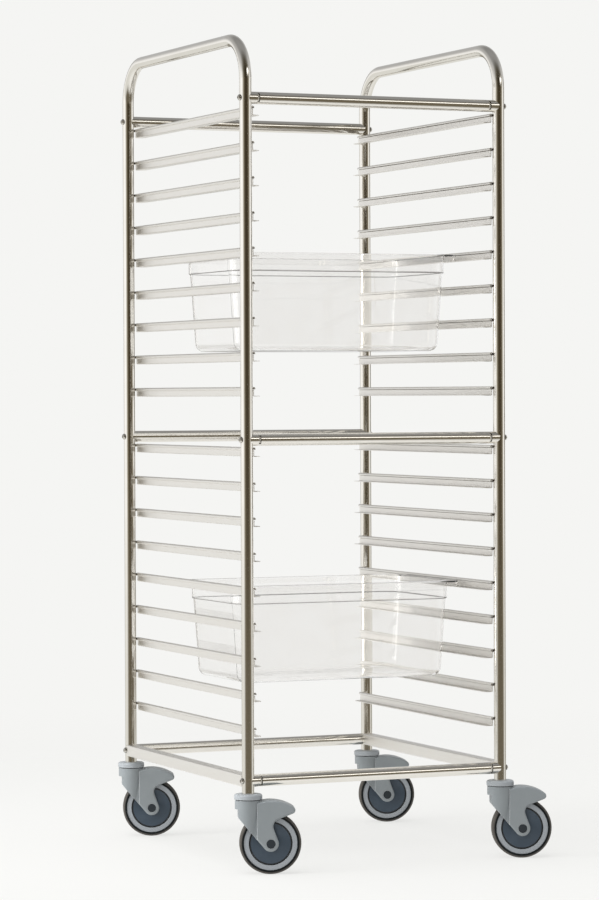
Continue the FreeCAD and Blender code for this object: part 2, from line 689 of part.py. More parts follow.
def castor_fork():
    """Moulded swivel fork: housing column, hood and two cheeks, hollow over the wheel."""
    body = new_body("castor_fork")
    column = new_sketch(body, "column", "XZ_Plane")
    ring_bottom = "(fork_top - ring_height)"
    draw(column, [
        ("0", "axle_height"),
        ("column_diameter/2", "axle_height"),
        ("ring_diameter/2", ring_bottom),
        ("ring_diameter/2", "fork_top"),
        ("0", "fork_top"),
    ])
    revolve(body, column)
    flanks = new_sketch(body, "flanks", "XZ_Plane")
    rectangle(flanks, "0", "axle_height", "cheek_front + hood_fillet", ring_bottom)
    pad(body, flanks, "flank_width", symmetric=True)
    cheeks = new_sketch(body, "cheeks", "XZ_Plane")
    cheek_outline(cheeks)
    blank = pad(body, cheeks, "fork_width", symmetric=True)
    hood, face = size("hood_radius"), size("fork_width")/2

    def on_hood(edge):
        rim = getattr(edge.Curve, "Radius", 0)
        return abs(rim - hood) < 1e-4 and abs(abs(edge.CenterOfMass.y) - face) < 1e-3

    fillet(body, blank, "hood_fillet", on_hood)
    back = new_sketch(body, "back", "XZ_Plane")
    rectangle(back, "-ring_diameter", "axle_height - 1", "-column_diameter/2", ring_bottom)
    pocket(body, back, "2*fork_width", symmetric=True)
    slope = new_sketch(body, "slope", "XZ_Plane")
    start_x = "(castor_offset - boss_radius*sin(leg_slope))"
    start_z = "(axle_height - boss_radius*cos(leg_slope))"
    back_x = "(-ring_diameter)"
    draw(slope, [
        (start_x, start_z),
        (back_x, f"{start_z} + ({start_x} - {back_x})*tan(leg_slope)"),
        (back_x, start_z),
    ])
    pocket(body, slope, "2*fork_width", symmetric=True)
    well = new_sketch(body, "well", "XZ_Plane")
    add_circle(well, "castor_offset", "axle_height", "axle_height + wheel_clearance")
    pocket(body, well, "fork_inner_width", symmetric=True)
    hollow = new_sketch(body, "hollow", "XZ_Plane")
    low, high = "axle_height", "(hood_radius - hood_wall)"
    start, stop = "(nose_angle + 4)", "90"

    def about_axle(radius, angle):
        return f"castor_offset + {radius}*cos({angle})", f"axle_height + {radius}*sin({angle})"

    centre = ("castor_offset", "axle_height")
    draw(hollow, [
        about_axle(low, start),
        (*about_axle(high, start), *centre, 1),
        about_axle(high, stop),
        (*about_axle(low, stop), *centre, -1),
    ])
    pocket(body, hollow, "fork_inner_width", symmetric=True)
    bore = new_sketch(body, "bore", "XY_Plane", "fork_top")
    add_circle(bore, "0", "0", "kingpin_hole")
    pocket(body, bore, "fork_top - axle_height")
    relief = new_sketch(body, "relief", "XY_Plane", "shelf_height")
    add_circle(relief, "0", "0", "kingpin_head_diameter/2 + end_gap")
    pocket(body, relief, "shelf_height - axle_height")
    notch = new_sketch(body, "notch", "YZ_Plane", "notch_depth - column_diameter/2")
    for near, far in (("notch_inset", "notch_inset + notch_width"),
                      ("-notch_inset - notch_width", "-notch_inset")):
        rectangle(notch, near, "notch_bottom", far, "notch_bottom + notch_height")
    pocket(body, notch, "notch_depth")
    axle = new_sketch(body, "axle", "XZ_Plane")
    add_circle(axle, "castor_offset", "axle_height", "axle_diameter/2 + fit_gap")
    pocket(body, axle, "2*fork_width", symmetric=True)
    for label, lift, along in (("near", "fork_width/2 - cap_depth", True),
                               ("far", "cap_depth - fork_width/2", False)):
        seat = new_sketch(body, f"{label}_seat", "XZ_Plane", lift)
        add_circle(seat, "castor_offset", "axle_height", "cap_diameter/2 + fit_gap")
        pocket(body, seat, "2*cap_depth", along_normal=along)
    return body


def wheel_axle():
    """Plain axle through both cheeks, along Y about the wheel's centre."""
    body = new_body("wheel_axle")
    section = new_sketch(body, "section", "XZ_Plane")
    add_circle(section, "0", "0", "axle_diameter/2")
    pad(body, section, "fork_width - 2*cap_depth - 2*fit_gap", symmetric=True)
    return body


def wheel_turning(name, vertices):
    """Body turned about the wheel's axis: radius against distance from the wheel's middle."""
    body = new_body(name)
    section = new_sketch(body, "section", "XY_Plane")
    draw(section, vertices)
    revolve(body, section)
    return body


def wheel_masters():
    """The turned pieces of one wheel, each about the wheel's centre."""
    hub, bearing = "hub_diameter/2", "(bearing_diameter/2 + fit_gap)"
    hub_face = "(fork_inner_width/2 - end_gap)"
    ring_inner, ring_face, web = "rim_inner_diameter/2", "rim_ring_width/2", "web_thickness/2"
    rim_outer = "rim_diameter/2"
    rim = wheel_turning("wheel_rim", [
        (bearing, f"-{hub_face}"), (hub, f"-{hub_face}"), (hub, f"-{web}"), (ring_inner, f"-{web}"),
        (ring_inner, f"-{ring_face}"), (rim_outer, f"-{ring_face}"), (rim_outer, ring_face),
        (ring_inner, ring_face), (ring_inner, web), (hub, web), (hub, hub_face), (bearing, hub_face),
    ])
    tread, edge = "wheel_diameter/2", "tyre_width/2"
    inner, round_x = "(rim_diameter/2 + fit_gap)", "(wheel_diameter/2 - tyre_shoulder)"
    round_y = "(tyre_width/2 - tyre_shoulder)"
    tyre = wheel_turning("tyre", [
        (inner, f"-{edge}"), (round_x, f"-{edge}", round_x, f"-{round_y}", 1), (tread, f"-{round_y}"),
        (tread, round_y, round_x, round_y, 1), (round_x, edge), (inner, edge),
    ])
    disc_face = "(rim_ring_width/2 - disc_recess)"
    disc_hub, disc_edge = f"({hub} + disc_gap)", f"({ring_inner} - disc_groove)"
    disc = wheel_turning("wheel_disc", [
        (disc_hub, f"-{disc_face}"), (disc_edge, f"-{disc_face}"),
        (disc_edge, f"disc_thickness - {disc_face}"), (disc_hub, f"disc_thickness - {disc_face}"),
    ])
    bore = "(axle_diameter/2 + running_gap)"
    bearing_edge = f"(bearing_width - {hub_face})"
    race = wheel_turning("wheel_bearing", [
        (bore, f"-{hub_face}"), ("bearing_diameter/2", f"-{hub_face}"),
        ("bearing_diameter/2", bearing_edge), (bore, bearing_edge),
    ])
    cap_face, cap_back = "(-fork_width/2 - cap_proud)", "(cap_depth - fork_width/2)"
    cap_edge = "cap_diameter/2"
    cap = wheel_turning("axle_cap", [
        ("0", cap_face), (f"{cap_edge} - cap_proud", cap_face),
        (cap_edge, f"{cap_face} + cap_proud"), (cap_edge, cap_back), ("0", cap_back),
    ])
    return rim, tyre, disc, race, cap


def gn_container():
    """Clear gastronorm 1/1 container, the underside of its rim at z = 0."""
    body = new_body("gn_container")
    wall_height = "(container_depth - band_depth)"
    lean = f"-atan(wall_taper/{wall_height})"
    step = new_sketch(body, "step", "XY_Plane", "band_bottom")
    rounded_rectangle(step, "band_length - 2*band_step", "band_width - 2*band_step",
                      "band_corner - band_step")
    pad(body, step, wall_height, downward=True, taper=lean)
    band = new_sketch(body, "band", "XY_Plane", "band_bottom")
    rounded_rectangle(band, "band_length", "band_width", "band_corner")
    ledge = pad(body, band, "band_depth")
    fillet(body, ledge, "edge_round", level_edges("band_bottom", "band_length", "band_width"))
    rim = new_sketch(body, "rim", "XY_Plane")
    rounded_rectangle(rim, "container_length", "container_width", "rim_corner")
    lid_seat = pad(body, rim, "lip_height")
    fillet(body, lid_seat, "edge_round", level_edges("lip_height", "container_length", "container_width"))
    lip = new_sketch(body, "lip", "XY_Plane")
    rounded_rectangle(lip, "container_length - 2*lip_thickness", "container_width - 2*lip_thickness",
                      "rim_corner - lip_thickness")
    rounded_rectangle(lip, "band_length", "band_width", "band_corner")
    pocket(body, lip, "lip_height - rim_plate", along_normal=True)
    mouth = new_sketch(body, "mouth", "XY_Plane", "lip_height")
    rounded_rectangle(mouth, "band_length - 2*container_wall", "band_width - 2*container_wall",
                      "band_corner - container_wall")
    pocket(body, mouth, "band_depth - container_wall")
    inside = new_sketch(body, "inside", "XY_Plane", "band_bottom + container_wall")
    rounded_rectangle(inside, "band_length - 2*band_step - 2*container_wall",
                      "band_width - 2*band_step - 2*container_wall",
                      "band_corner - band_step - container_wall")
    cavity = pocket(body, inside, wall_height, taper=lean)
    hollow = fillet(body, cavity, "base_fillet - container_wall",
                    level_edges("container_base + container_wall"))
    fillet(body, hollow, "base_fillet", level_edges("container_base"))
    return body


for side, sign, turn in SIDES:
    side_tube(f"{side}_side_tube", sign)
    bottom_rail(f"{side}_bottom_rail", sign, turn)
    runner_bay(f"upper_{side}_runners", sign, "top_bar_height", turn)
    runner_bay(f"lower_{side}_runners", sign, "middle_bar_height", turn)
for level, height in BARS:
    for end, y_sign, turn in ENDS:
        cross_bar(f"{level}_{end}_bar", y_sign, height, turn)

CORNERS = [(end, side, f"{x_sign}frame_width/2", f"{y_sign}frame_depth/2")
           for end, y_sign, end_turn in ENDS for side, x_sign, side_turn in SIDES]


copies("frame_bolts", frame_bolt(),
       [(f"{x_sign}(frame_width/2 + tube_radius)", f"{y_sign}frame_depth/2", height, turn)
        for side, x_sign, turn in SIDES for end, y_sign, end_turn in ENDS for level, height in BARS])
copies("bar_nuts", nut_plate(),
       [(f"{x_sign}(frame_width/2 - slot_inset)", f"{y_sign}frame_depth/2", height, "0")
        for side, x_sign, turn in SIDES for end, y_sign, end_turn in ENDS for level, height in BARS])
for name, master in (("castor_stems", castor_stem()), ("castor_collars", castor_collar()),
                     ("swivel_washers", swivel_washer())):
    copies(name, master, [(x, y, "0", "0") for end, side, x, y in CORNERS])

fork = castor_fork()
axle = wheel_axle()
rim, tyre, disc, bearing, cap = wheel_masters()
for end, side, x, y in CORNERS:
    corner = f"{end}_{side}"
    hub_x = f"{x} + castor_offset*cos(castor_yaw)"
    hub_y = f"{y} + castor_offset*sin(castor_yaw)"
    facing = (hub_x, hub_y, "axle_height", "castor_yaw")
    facing_back = (hub_x, hub_y, "axle_height", "castor_yaw + 180")
    copies(f"{corner}_fork", fork, [(x, y, "0", "castor_yaw")])
    copies(f"{corner}_axle", axle, [facing])
    copies(f"{corner}_axle_caps", cap, [facing, facing_back])
    copies(f"{corner}_wheel_rim", rim, [facing])
    copies(f"{corner}_tyre", tyre, [facing])
    copies(f"{corner}_wheel_discs", disc, [facing, facing_back])
    copies(f"{corner}_wheel_bearings", bearing, [facing, facing_back])

container = gn_container()
for name, bar_height, forward in (("upper_container", "top_bar_height", "upper_forward"),
                                  ("lower_container", "middle_bar_height", "lower_forward")):
    seat = f"{bar_height} - runner_drop - levels_over_container*runner_pitch + seat_gap"
    copies(name, container, [("0", f"-{forward}", seat, "0")])

doc.recompute()
for thing in doc.Objects:
    if {"Invalid", "Error"} & set(thing.State):
        raise RuntimeError(f"{thing.Label} did not build: {thing.State}")
os.makedirs("parts", exist_ok=True)
for node in nodes:
    if node.Shape.isNull() or not node.Shape.isValid():
        raise RuntimeError(f"{node.Label} has no valid shape")
    node.Shape.exportStep(f"parts/{node.Label}.step")
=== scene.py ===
import json
import math

import bpy
from mathutils import Matrix, Vector


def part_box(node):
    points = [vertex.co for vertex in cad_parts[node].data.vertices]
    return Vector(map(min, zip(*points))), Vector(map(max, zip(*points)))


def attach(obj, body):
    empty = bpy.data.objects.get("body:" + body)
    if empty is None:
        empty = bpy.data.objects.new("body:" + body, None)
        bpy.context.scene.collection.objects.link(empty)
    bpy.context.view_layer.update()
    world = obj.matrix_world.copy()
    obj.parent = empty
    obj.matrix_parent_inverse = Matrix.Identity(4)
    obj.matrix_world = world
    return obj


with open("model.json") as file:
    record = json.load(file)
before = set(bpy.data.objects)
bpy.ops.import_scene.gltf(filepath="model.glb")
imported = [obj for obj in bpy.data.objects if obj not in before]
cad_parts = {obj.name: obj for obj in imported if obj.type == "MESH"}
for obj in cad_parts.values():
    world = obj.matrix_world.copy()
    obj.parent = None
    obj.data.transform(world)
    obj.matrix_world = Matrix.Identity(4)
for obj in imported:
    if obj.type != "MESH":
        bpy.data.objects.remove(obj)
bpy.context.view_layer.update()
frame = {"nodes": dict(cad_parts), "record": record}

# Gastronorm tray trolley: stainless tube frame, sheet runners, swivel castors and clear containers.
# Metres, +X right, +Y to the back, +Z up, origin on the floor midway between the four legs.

nodes = frame["nodes"]
subparts = frame["record"]["subparts"]
joints = {joint["name"]: joint for joint in frame["record"]["behaviour"]["joints"]}
bpy.ops.object.select_all(action="DESELECT")

MM = 0.001

# Containers: depth of the band under the rim, the rounding of the step below it, the share of that
# rounding painted as a grey line of shade, and the least slope of its faces
BAND_DEPTH = 39 * MM
STEP_ROUND = 2 * MM
STEP_SHARE = (0.05, 0.95)
STEP_SLOPE = 0.1

# Runners and their tack welds
RUNNER_LEVELS = 9
RUNNER_HEIGHT = 19.5 * MM
BEAD_RADIUS = 3.75 * MM
WELD_HALF_SIZE = (1.6 * MM, 3.2 * MM, 2.4 * MM)
WELD_CROWN_REACH = 1.2 * MM
WELD_CROWN_SWELL = (1.2, 1, 1.15)
WELD_FROM_SIDE = 0.3 * MM
WELD_FROM_END = 0.5 * MM

# Castors: colour of the paler rounded edges, partly from handling and partly a painted edge highlight, and
# how far inside a wheel's outer edge the grey tread, partly from rolling and partly a painted sheen, and the
# dark line of painted shade along a disc's edge begin and are full
RUBBED_EDGE_AND_HIGHLIGHT = "#D6DADC"
TREAD_WEAR_AND_SHEEN_BEGINS, TREAD_WEAR_AND_SHEEN_FULL = 5.5 * MM, 2.5 * MM
DISC_SHADE_BEGINS, DISC_SHADE_FULL = 2.4 * MM, 1.2 * MM

# The photograph's camera; image sizes are in its pixels
CAMERA_AZIMUTH = math.radians(-23.75)
CAMERA_TILT = math.radians(0.93)
CAMERA_ROLL = math.radians(0.21)
CAMERA_PLACE = Vector((-2.99137, -6.74313, 0.98254))
FOCAL_PIXELS = 3393.94
IMAGE_HEIGHT = 900
SENSOR = 36

# The studio; bearings are turned from straight in front, heights are sines of the elevation
DARK_END_BEARING = CAMERA_AZIMUTH + math.radians(12)
SCREEN_BEARINGS = (math.radians(98), math.radians(172))
WINDOW_WAY = Vector((-0.7, 0.3, 0.65)).normalized()
STRIP_WAY = Vector((0.403, -0.836, 0.372))
STRIP_HEIGHT = 0.37
STRIP_LIGHT = (2.0, 1.95, 1.85, 1)
PANEL_WAY = Vector((-0.936, 0.351, 0))
PANEL_LIGHT = (4.0, 4.0, 3.95, 1)
BACKGROUND = "#F5F5F3"
FLOOR_SIZE = 12
FLOOR_FADE_BEGINS, FLOOR_FADE_ENDS = 0.9, 3.5
TROLLEY_MIDDLE = Vector((0, 0, 0.8))

# Node settings that recur
COLOURS = {"data_type": "RGBA"}
SMOOTH = {"interpolation_type": "SMOOTHSTEP"}
DOT = {"operation": "DOT_PRODUCT"}
SCALE = {"operation": "SCALE"}
TIMES = {"operation": "MULTIPLY"}
LARGER = {"operation": "MAXIMUM"}
# Length of one wave of the Wave texture at scale 1
WAVE_LENGTH = math.tau / 20


def linear(hex_colour):
    """Linear colour of an sRGB hex value."""
    channels = [int(hex_colour[i:i + 2], 16) / 255 for i in (1, 3, 5)]
    return [c / 12.92 if c <= 0.04045 else ((c + 0.055) / 1.055) ** 2.4 for c in channels] + [1]


def add(tree, kind, settings=None, **inputs):
    """One node with its settings. An input is a value, a colour or another node's output; its key is the
    socket's name, or i and the socket's number."""
    node = tree.nodes.new(kind)
    for name, value in (settings or {}).items():
        setattr(node, name, value)
    for name, value in inputs.items():
        socket = node.inputs[int(name[1:]) if name[1:].isdigit() else name.replace("_", " ")]
        if isinstance(value, bpy.types.NodeSocket):
            tree.links.new(value, socket)
        else:
            socket.default_value = value
    return node


def new_material(name):
    """Empty node material, its tree and the coordinates of its pattern."""
    material = bpy.data.materials.new(name)
    material.use_nodes = True
    tree = material.node_tree
    tree.nodes.clear()
    return material, tree, add(tree, "ShaderNodeTexCoord").outputs["Object"]


def finish_material(tree, shader, volume=None):
    """Joins the shader, and the volume of a clear material, to the material's output."""
    output = tree.nodes.new("ShaderNodeOutputMaterial")
    tree.links.new(shader.outputs[0], output.inputs["Surface"])
    if volume:
        tree.links.new(volume.outputs[0], output.inputs["Volume"])


def satin_stainless(name, first, second, smoothest, roughest):
    """Drawn and belt-polished stainless: long clean reflections, dulled a little where hands have been."""
    material, tree, place = new_material(name)
    patches = add(tree, "ShaderNodeTexNoise", Vector=place, Scale=1 / (60 * MM), Detail=3.0).outputs["Fac"]
    # Belt grit is about 0.1 mm; it is drawn at 1.5 mm so that it shows at all.
    grit = add(tree, "ShaderNodeTexNoise", Vector=place, Scale=1 / (1.5 * MM), Detail=2.0).outputs["Fac"]
    colour = add(tree, "ShaderNodeMix", COLOURS, Factor=patches,
                 i6=linear(first), i7=linear(second)).outputs[2]
    rough = add(tree, "ShaderNodeMapRange", Value=patches, To_Min=smoothest, To_Max=roughest).outputs[0]
    bump = add(tree, "ShaderNodeBump", Height=grit, Strength=0.04, Distance=0.2 * MM).outputs[0]
    shader = add(tree, "ShaderNodeBsdfPrincipled", Base_Color=colour, Metallic=1.0,
                 Roughness=rough, Normal=bump)
    finish_material(tree, shader)
    return material


def rolled_stainless():
    """Cold-rolled stainless sheet: pale, soft reflections with faint lines along the rolling direction."""
    material, tree, place = new_material("cold_rolled_stainless_sheet")
    along = add(tree, "ShaderNodeMapping", Vector=place, Scale=(1, 0.05, 1)).outputs[0]
    # Rolling lines are about 0.2 mm apart; they are drawn at 2 mm so that they show.
    lines = add(tree, "ShaderNodeTexNoise", Vector=along, Scale=1 / (2 * MM), Detail=3.0).outputs["Fac"]
    colour = add(tree, "ShaderNodeMix", COLOURS, Factor=lines,
                 i6=linear("#F8F6F2"), i7=linear("#F2EFEA")).outputs[2]
    rough = add(tree, "ShaderNodeMapRange", Value=lines, To_Min=0.4, To_Max=0.48).outputs[0]
    bump = add(tree, "ShaderNodeBump", Height=lines, Strength=0.04, Distance=0.2 * MM).outputs[0]
    shader = add(tree, "ShaderNodeBsdfPrincipled", Base_Color=colour, Metallic=1.0,
                 Roughness=rough, Normal=bump)
    finish_material(tree, shader)
    return material


def zinc_plated_steel():
    """Zinc-plated steel: pale with a faint spangle, so that the nut plates glint between dark gaps in the
    bars' slots."""
    material, tree, place = new_material("zinc_plated_steel")
    cloud = add(tree, "ShaderNodeTexNoise", Vector=place, Scale=1 / (4 * MM), Detail=4.0).outputs["Fac"]
    colour = add(tree, "ShaderNodeMix", COLOURS, Factor=cloud,
                 i6=linear("#FFFDF8"), i7=linear("#EDEAE3")).outputs[2]
    rough = add(tree, "ShaderNodeMapRange", Value=cloud, To_Min=0.6, To_Max=0.75).outputs[0]
    shader = add(tree, "ShaderNodeBsdfPrincipled", Base_Color=colour, Metallic=1.0, Roughness=rough)
    finish_material(tree, shader)
    return material


def welded_stainless():
    """Weld bead in stainless: rippled, with straw and blue-grey heat tint."""
    material, tree, place = new_material("heat_tinted_weld")
    tint = add(tree, "ShaderNodeTexNoise", Vector=place, Scale=1 / (5 * MM), Detail=2.0).outputs["Fac"]
    # Ripples of a tack weld stand about 0.8 mm apart; they are drawn at 2.8 mm so that they show.
    ripple = add(tree, "ShaderNodeTexWave", Vector=place, Scale=WAVE_LENGTH / (2.8 * MM),
                 Distortion=2.0).outputs["Fac"]
    colour = add(tree, "ShaderNodeMix", COLOURS, Factor=tint,
                 i6=linear("#6E6253"), i7=linear("#4C4D52")).outputs[2]
    rough = add(tree, "ShaderNodeMapRange", Value=ripple, To_Min=0.3, To_Max=0.5).outputs[0]
    bump = add(tree, "ShaderNodeBump", Height=ripple, Strength=0.3, Distance=0.3 * MM).outputs[0]
    shader = add(tree, "ShaderNodeBsdfPrincipled", Base_Color=colour, Metallic=1.0,
                 Roughness=rough, Normal=bump)
    finish_material(tree, shader)
    return material


def moulded(name, first, second, rough, rounding=0.0, gloss=0.5, edge_wear_and_highlight=None):
    """Injection-moulded plastic: even colour, a fine spark-eroded grain that softens the gloss, and edges
    rounded by the mould, in millimetres, that catch a thin light line. Given an edge colour, the rounded
    edges are painted paler: partly scuffed by handling, partly a painted edge highlight."""
    material, tree, place = new_material(name)
    cloud = add(tree, "ShaderNodeTexNoise", Vector=place, Scale=1 / (25 * MM), Detail=4.0).outputs["Fac"]
    # Spark-eroded grain is about 0.1 mm; it is drawn at 1.2 mm so that it shows.
    fine = add(tree, "ShaderNodeTexNoise", Vector=place, Scale=1 / (1.2 * MM), Detail=2.0).outputs["Fac"]
    colour = add(tree, "ShaderNodeMix", COLOURS, Factor=cloud,
                 i6=linear(first), i7=linear(second)).outputs[2]
    uneven = add(tree, "ShaderNodeMapRange", Value=fine, To_Min=rough - 0.06, To_Max=rough + 0.06).outputs[0]
    bump = add(tree, "ShaderNodeBump", Height=fine, Strength=0.25, Distance=0.15 * MM)
    if rounding:
        edge = add(tree, "ShaderNodeBevel", {"samples": 6}, Radius=rounding * MM).outputs[0]
        tree.links.new(edge, bump.inputs["Normal"])
        # Rounded edges painted paler: partly scuffing, partly a painted highlight for the light line they
        # catch.
        if edge_wear_and_highlight:
            flat = add(tree, "ShaderNodeNewGeometry").outputs["Normal"]
            turned = add(tree, "ShaderNodeVectorMath", DOT, i0=edge, i1=flat).outputs["Value"]
            painted_edge_mix = add(tree, "ShaderNodeMapRange", SMOOTH, Value=turned,
                       From_Min=0.985, From_Max=0.85).outputs[0]
            colour = add(tree, "ShaderNodeMix", COLOURS, Factor=painted_edge_mix,
                         i6=colour, i7=linear(edge_wear_and_highlight)).outputs[2]
    shader = add(tree, "ShaderNodeBsdfPrincipled", Base_Color=colour, Roughness=uneven,
                 Specular_IOR_Level=gloss, Normal=bump.outputs[0])
    finish_material(tree, shader)
    return material


def about_axle(tree, place, corner):
    """Place measured from a wheel's axle, turned so that the axle lies along Y, and the distance from it."""
    axle = joints[f"{corner}_roll"]
    square = Vector(axle["axis"]).rotation_difference(Vector((0, 1, 0)))
    centred = add(tree, "ShaderNodeMapping", Vector=place, Rotation=square.to_euler(),
                  Location=-(square @ Vector(axle["pos_m"]))).outputs[0]
    across = add(tree, "ShaderNodeVectorMath", TIMES, i0=centred, i1=(1, 0, 1)).outputs[0]
    return centred, add(tree, "ShaderNodeVectorMath", {"operation": "LENGTH"}, i0=across).outputs["Value"]


def wheel_radius(name):
    """Radius of a wheel's tyre or disc, from its height."""
    low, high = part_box(name)
    return (high.z - low.z) / 2


def rolling_rubber(corner):
    """Moulded rubber: dull dark sidewalls, and a tread painted grey where it rolls: partly scuffed by the
    floor, partly a painted sheen for the light its rounded shoulder catches.
    """
    material, tree, place = new_material(f"grey_rubber_{corner}")
    reach = about_axle(tree, place, corner)[1]
    cloud = add(tree, "ShaderNodeTexNoise", Vector=place, Scale=1 / (12 * MM), Detail=4.0).outputs["Fac"]
    # Scuffs are about 0.2 mm wide; they are drawn at 0.8 mm so that they show.
    scuffs = add(tree, "ShaderNodeTexNoise", Vector=place, Scale=1 / (0.8 * MM), Detail=2.0).outputs["Fac"]
    tread = wheel_radius(f"{corner}_tyre")
    # The grey tread is partly scuffing from the floor, partly a painted sheen on the rounded shoulder.
    worn_and_sheen = add(tree, "ShaderNodeMapRange", SMOOTH, Value=reach, From_Min=tread - TREAD_WEAR_AND_SHEEN_BEGINS,
               From_Max=tread - TREAD_WEAR_AND_SHEEN_FULL).outputs[0]
    wall = add(tree, "ShaderNodeMix", COLOURS, Factor=cloud,
               i6=linear("#1A1E20"), i7=linear("#121617")).outputs[2]
    dust_and_sheen = add(tree, "ShaderNodeMix", COLOURS, Factor=cloud,
               i6=linear("#625E59"), i7=linear("#494643")).outputs[2]
    colour = add(tree, "ShaderNodeMix", COLOURS, Factor=worn_and_sheen, i6=wall, i7=dust_and_sheen).outputs[2]
    rough = add(tree, "ShaderNodeMapRange", Value=scuffs, To_Min=0.45, To_Max=0.6).outputs[0]
    bump = add(tree, "ShaderNodeBump", Height=scuffs, Strength=0.4, Distance=0.15 * MM).outputs[0]
    shader = add(tree, "ShaderNodeBsdfPrincipled", Base_Color=colour, Roughness=rough,
                 Specular_IOR_Level=0.15, Normal=bump)
    finish_material(tree, shader)
    return material


def turned_disc(corner):
    """Polypropylene wheel cover with fine turned rings about its axle: a slate face on which the light lies
    in wedges, and a dark line of painted shade along its edge, where the seam to the rim lies in shadow."""
    material, tree, place = new_material(f"slate_disc_polypropylene_{corner}")
    centred, reach = about_axle(tree, place, corner)
    cloud = add(tree, "ShaderNodeTexNoise", Vector=place, Scale=1 / (25 * MM), Detail=4.0).outputs["Fac"]
    # Tool marks are about 0.2 mm apart; they are drawn at 1.2 mm so that they show.
    rings = add(tree, "ShaderNodeTexWave", {"wave_type": "RINGS", "rings_direction": "Y"}, Vector=centred,
                Scale=WAVE_LENGTH / (1.2 * MM)).outputs["Fac"]
    colour = add(tree, "ShaderNodeMix", COLOURS, Factor=cloud,
                 i6=linear("#3F4E5C"), i7=linear("#364350")).outputs[2]
    edge = wheel_radius(f"{corner}_wheel_discs")
    # Painted shade: the edge of the disc is darkened for the shadow in the seam between the disc and the
    # rim.
    seam_shade = add(tree, "ShaderNodeMapRange", SMOOTH, Value=reach, From_Min=edge - DISC_SHADE_BEGINS,
               From_Max=edge - DISC_SHADE_FULL).outputs[0]
    colour = add(tree, "ShaderNodeMix", COLOURS, Factor=seam_shade, i6=colour, i7=linear("#15191C")).outputs[2]
    bump = add(tree, "ShaderNodeBump", Height=rings, Strength=0.3, Distance=0.12 * MM).outputs[0]
    rough = add(tree, "ShaderNodeMapRange", Value=cloud, To_Min=0.36, To_Max=0.44).outputs[0]
    # The rings spread what they mirror outward from the axle, however the wheel stands.
    outward = add(tree, "ShaderNodeVectorMath", {"operation": "SUBTRACT"}, i0=place,
                  i1=Vector(joints[f"{corner}_roll"]["pos_m"])).outputs[0]
    outward = add(tree, "ShaderNodeVectorTransform", {"convert_from": "OBJECT", "convert_to": "WORLD"},
                  Vector=outward).outputs[0]
    shader = add(tree, "ShaderNodeBsdfPrincipled", Base_Color=colour, Roughness=rough, Normal=bump,
                 Specular_IOR_Level=0.8, Anisotropic=0.9, Tangent=outward)
    finish_material(tree, shader)
    return material


def clear_polycarbonate():
    """Injection-moulded polycarbonate: clear, with a faint haze of washing, and walls that ripple a little
    where the melt flowed; they turn grey where one looks along them."""
    material, tree, place = new_material("clear_polycarbonate")
    haze = add(tree, "ShaderNodeTexNoise", Vector=place, Scale=1 / (45 * MM), Detail=5.0).outputs["Fac"]
    flow = add(tree, "ShaderNodeTexNoise", Vector=place, Scale=1 / (70 * MM), Detail=1.0).outputs["Fac"]
    colour = add(tree, "ShaderNodeMix", COLOURS, Factor=haze,
                 i6=linear("#FFFFFF"), i7=linear("#FCFBFA")).outputs[2]
    rough = add(tree, "ShaderNodeMapRange", Value=haze, To_Min=0.0, To_Max=0.05).outputs[0]
    bump = add(tree, "ShaderNodeBump", Height=flow, Strength=0.12, Distance=1 * MM).outputs[0]
    shader = add(tree, "ShaderNodeBsdfPrincipled", Base_Color=colour, Roughness=rough, IOR=1.585,
                 Transmission_Weight=0.985, Normal=bump)
    tint = add(tree, "ShaderNodeVolumeAbsorption", Color=linear("#BDB8B2"), Density=1.0)
    finish_material(tree, shader, tint)
    return material


def paint_step_shade_line():
    """Rounded outer edge of the stacking step, painted as a thin grey line: painted shade for the light that
    the rounding bends away.
    """
    material, tree, place = new_material("polycarbonate_step_painted_shade")
    # Painted shade: the line's two greys vary at random along it.
    painted_edge_mix = add(tree, "ShaderNodeTexNoise", Vector=place, Scale=1 / (30 * MM), Detail=3.0).outputs["Fac"]
    colour = add(tree, "ShaderNodeMix", COLOURS, Factor=painted_edge_mix,
                 i6=linear("#7A7674"), i7=linear("#928E8B")).outputs[2]
    shader = add(tree, "ShaderNodeBsdfPrincipled", Base_Color=colour, Roughness=0.2, IOR=1.585,
                 Transmission_Weight=0.4)
    finish_material(tree, shader)
    return material


